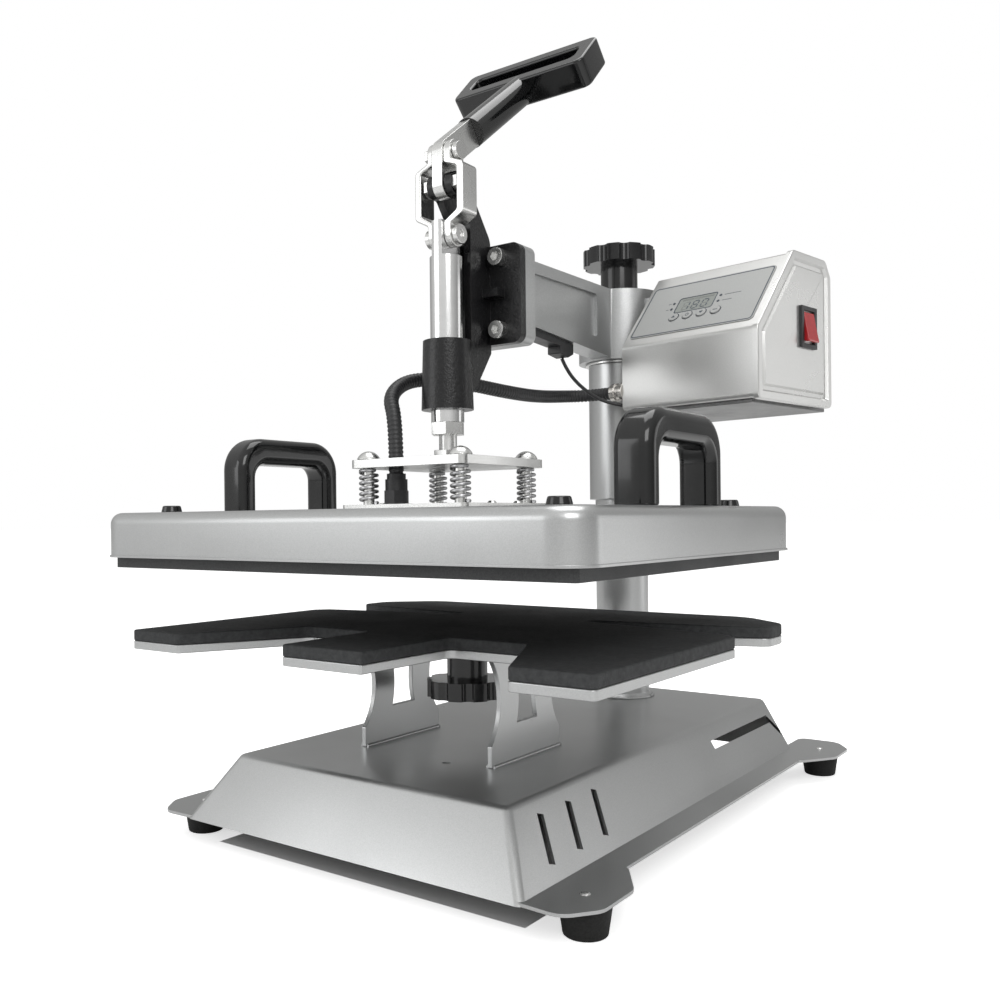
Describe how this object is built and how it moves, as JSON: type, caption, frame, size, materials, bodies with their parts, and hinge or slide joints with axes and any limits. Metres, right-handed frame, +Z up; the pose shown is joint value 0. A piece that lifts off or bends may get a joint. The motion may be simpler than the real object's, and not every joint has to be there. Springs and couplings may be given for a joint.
{
  "type": "heat press",
  "caption": "Swing-away heat press: toggle lever, floating heated platen over a fingered foam-topped table, column with height knob, and side controller.",
  "frame": {"origin": "on the floor, under the middle of the overall footprint", "axes": "+Z up, +Y towards the column at the back, +X to the operator's right, where the controller is"},
  "size_m": [0.397, 0.525, 0.6087],
  "materials": {
    "silver_paint": "metallic semi-gloss",
    "black_paint": "textured satin",
    "zinc": "bright zinc plate",
    "chrome": "polished",
    "black_gloss": "gloss",
    "black_matte": "matte",
    "foam": "matte sponge",
    "foot_rubber": "matte",
    "coated_aluminium": "dark non-stick coating",
    "nickel": "nickel plated",
    "element_steel": "oxidised",
    "panel_film": "satin film",
    "display_glass": "clear",
    "button_grey": "satin",
    "rocker_red": "translucent gloss",
    "circuit_green": "satin"
  },
  "bodies": {
    "base": {"base_shell": "silver_paint", "rubber_feet": "foot_rubber", "foot_fasteners": "zinc", "column_post": "chrome", "column_screw_nut": "zinc", "table_plate": "silver_paint", "table_pad": "foam", "table_brackets": "silver_paint", "table_strap": "silver_paint", "table_stud": "zinc"},
    "table_knob": {"table_clamp_knob": "black_gloss"},
    "sleeve": {"lift_sleeve": "silver_paint", "thrust_washer": "zinc"},
    "head": {"arm_casting": "silver_paint", "toggle_bracket": "black_paint", "arm_bolts": "zinc", "fulcrum_pin": "zinc", "controller_shell": "silver_paint", "controller_end_cap": "silver_paint", "controller_base_plate": "black_paint", "control_panel": "panel_film", "display_window": "display_glass", "controller_board": "circuit_green", "controller_mount_screws": "zinc", "mains_gland": "black_matte", "conduit_gland": "nickel", "rocker_frame": "black_matte", "wire_channel": "black_matte", "timer_sensor": "black_matte", "sensor_lead": "black_matte", "conduit": "black_matte"},
    "height_knob": {"height_knob": "black_gloss", "height_screw": "zinc"},
    "lever": {"lever_bar": "zinc", "crank_pin": "zinc", "handle_stem": "black_gloss", "handle_grip": "black_gloss"},
    "links": {"link_left": "zinc", "link_right": "zinc", "link_stub_bolts": "zinc"},
    "plunger": {"plunger_rod": "chrome", "plunger_stud": "zinc", "plunger_nuts": "zinc", "pressure_plate": "zinc"},
    "platen": {"heating_plate": "coated_aluminium", "platen_cover": "silver_paint", "heater_element": "element_steel", "stiffener_plate": "zinc", "stiffener_screws": "zinc", "float_bolts": "zinc", "float_springs": "zinc", "platen_gland": "black_matte", "cover_caps": "black_gloss", "carry_handle_left": "black_gloss", "carry_handle_right": "black_gloss"},
    "button_1": {"panel_button_1": "button_grey"},
    "button_2": {"panel_button_2": "button_grey"},
    "button_3": {"panel_button_3": "button_grey"},
    "button_4": {"panel_button_4": "button_grey"},
    "rocker": {"rocker_paddle": "rocker_red"}
  },
  "joints": [
    {"name": "table_knob_turn", "type": "hinge", "parent": "base", "child": "table_knob", "pos_m": [0, -0.0835, 0.11], "axis": [0, 0, 1], "continuous": true},
    {"name": "head_lift", "type": "slide", "parent": "base", "child": "sleeve", "axis": [0, 0, 1], "range_m": [-0.008, 0.008]},
    {"name": "head_swing", "type": "hinge", "parent": "sleeve", "child": "head", "pos_m": [0, 0.1655, 0.4], "axis": [0, 0, 1], "range_deg": [-100, 100]},
    {"name": "height_knob_turn", "type": "hinge", "parent": "head", "child": "height_knob", "pos_m": [0, 0.1655, 0.47], "axis": [0, 0, 1], "range_deg": [-1160, 1160]},
    {"name": "lever_throw", "type": "hinge", "parent": "head", "child": "lever", "pos_m": [0, -0.1045, 0.4715], "axis": [1, 0, 0], "range_deg": [0, 180]},
    {"name": "link_swing", "type": "hinge", "parent": "lever", "child": "links", "pos_m": [0, -0.1045, 0.4945], "axis": [1, 0, 0], "range_deg": [-181, 1]},
    {"name": "plunger_drop", "type": "slide", "parent": "head", "child": "plunger", "axis": [0, 0, -1], "range_m": [0, 0.046], "deforming": ["conduit"]},
    {"name": "platen_float", "type": "slide", "parent": "plunger", "child": "platen", "axis": [0, 0, 1], "range_m": [0, 0.005], "stiffness_N_per_m": 24000, "springref_m": -0.003, "deforming": ["float_springs"]},
    {"name": "button_1_press", "type": "slide", "parent": "head", "child": "button_1", "axis": [0.1293, 0.7563, -0.6413], "range_m": [0, 0.0008], "stiffness_N_per_m": 500, "springref_m": -0.0004},
    {"name": "button_2_press", "type": "slide", "parent": "head", "child": "button_2", "axis": [0.1293, 0.7563, -0.6413], "range_m": [0, 0.0008], "stiffness_N_per_m": 500, "springref_m": -0.0004},
    {"name": "button_3_press", "type": "slide", "parent": "head", "child": "button_3", "axis": [0.1293, 0.7563, -0.6413], "range_m": [0, 0.0008], "stiffness_N_per_m": 500, "springref_m": -0.0004},
    {"name": "button_4_press", "type": "slide", "parent": "head", "child": "button_4", "axis": [0.1293, 0.7563, -0.6413], "range_m": [0, 0.0008], "stiffness_N_per_m": 500, "springref_m": -0.0004},
    {"name": "power_rocker", "type": "hinge", "parent": "head", "child": "rocker", "pos_m": [0.18007, 0.15035, 0.384], "axis": [0.1685, 0.9857, 0], "range_deg": [0, 20]}
  ],
  "couplings": [
    {"joint": "height_knob_turn", "follows": "head_lift", "rad_per_m": 2513.3},
    {"joint": "link_swing", "follows": "lever_throw", "ratio": -1},
    {"joint": "plunger_drop", "follows": "lever_throw", "m_per_rad": 0.014642}
  ]
}
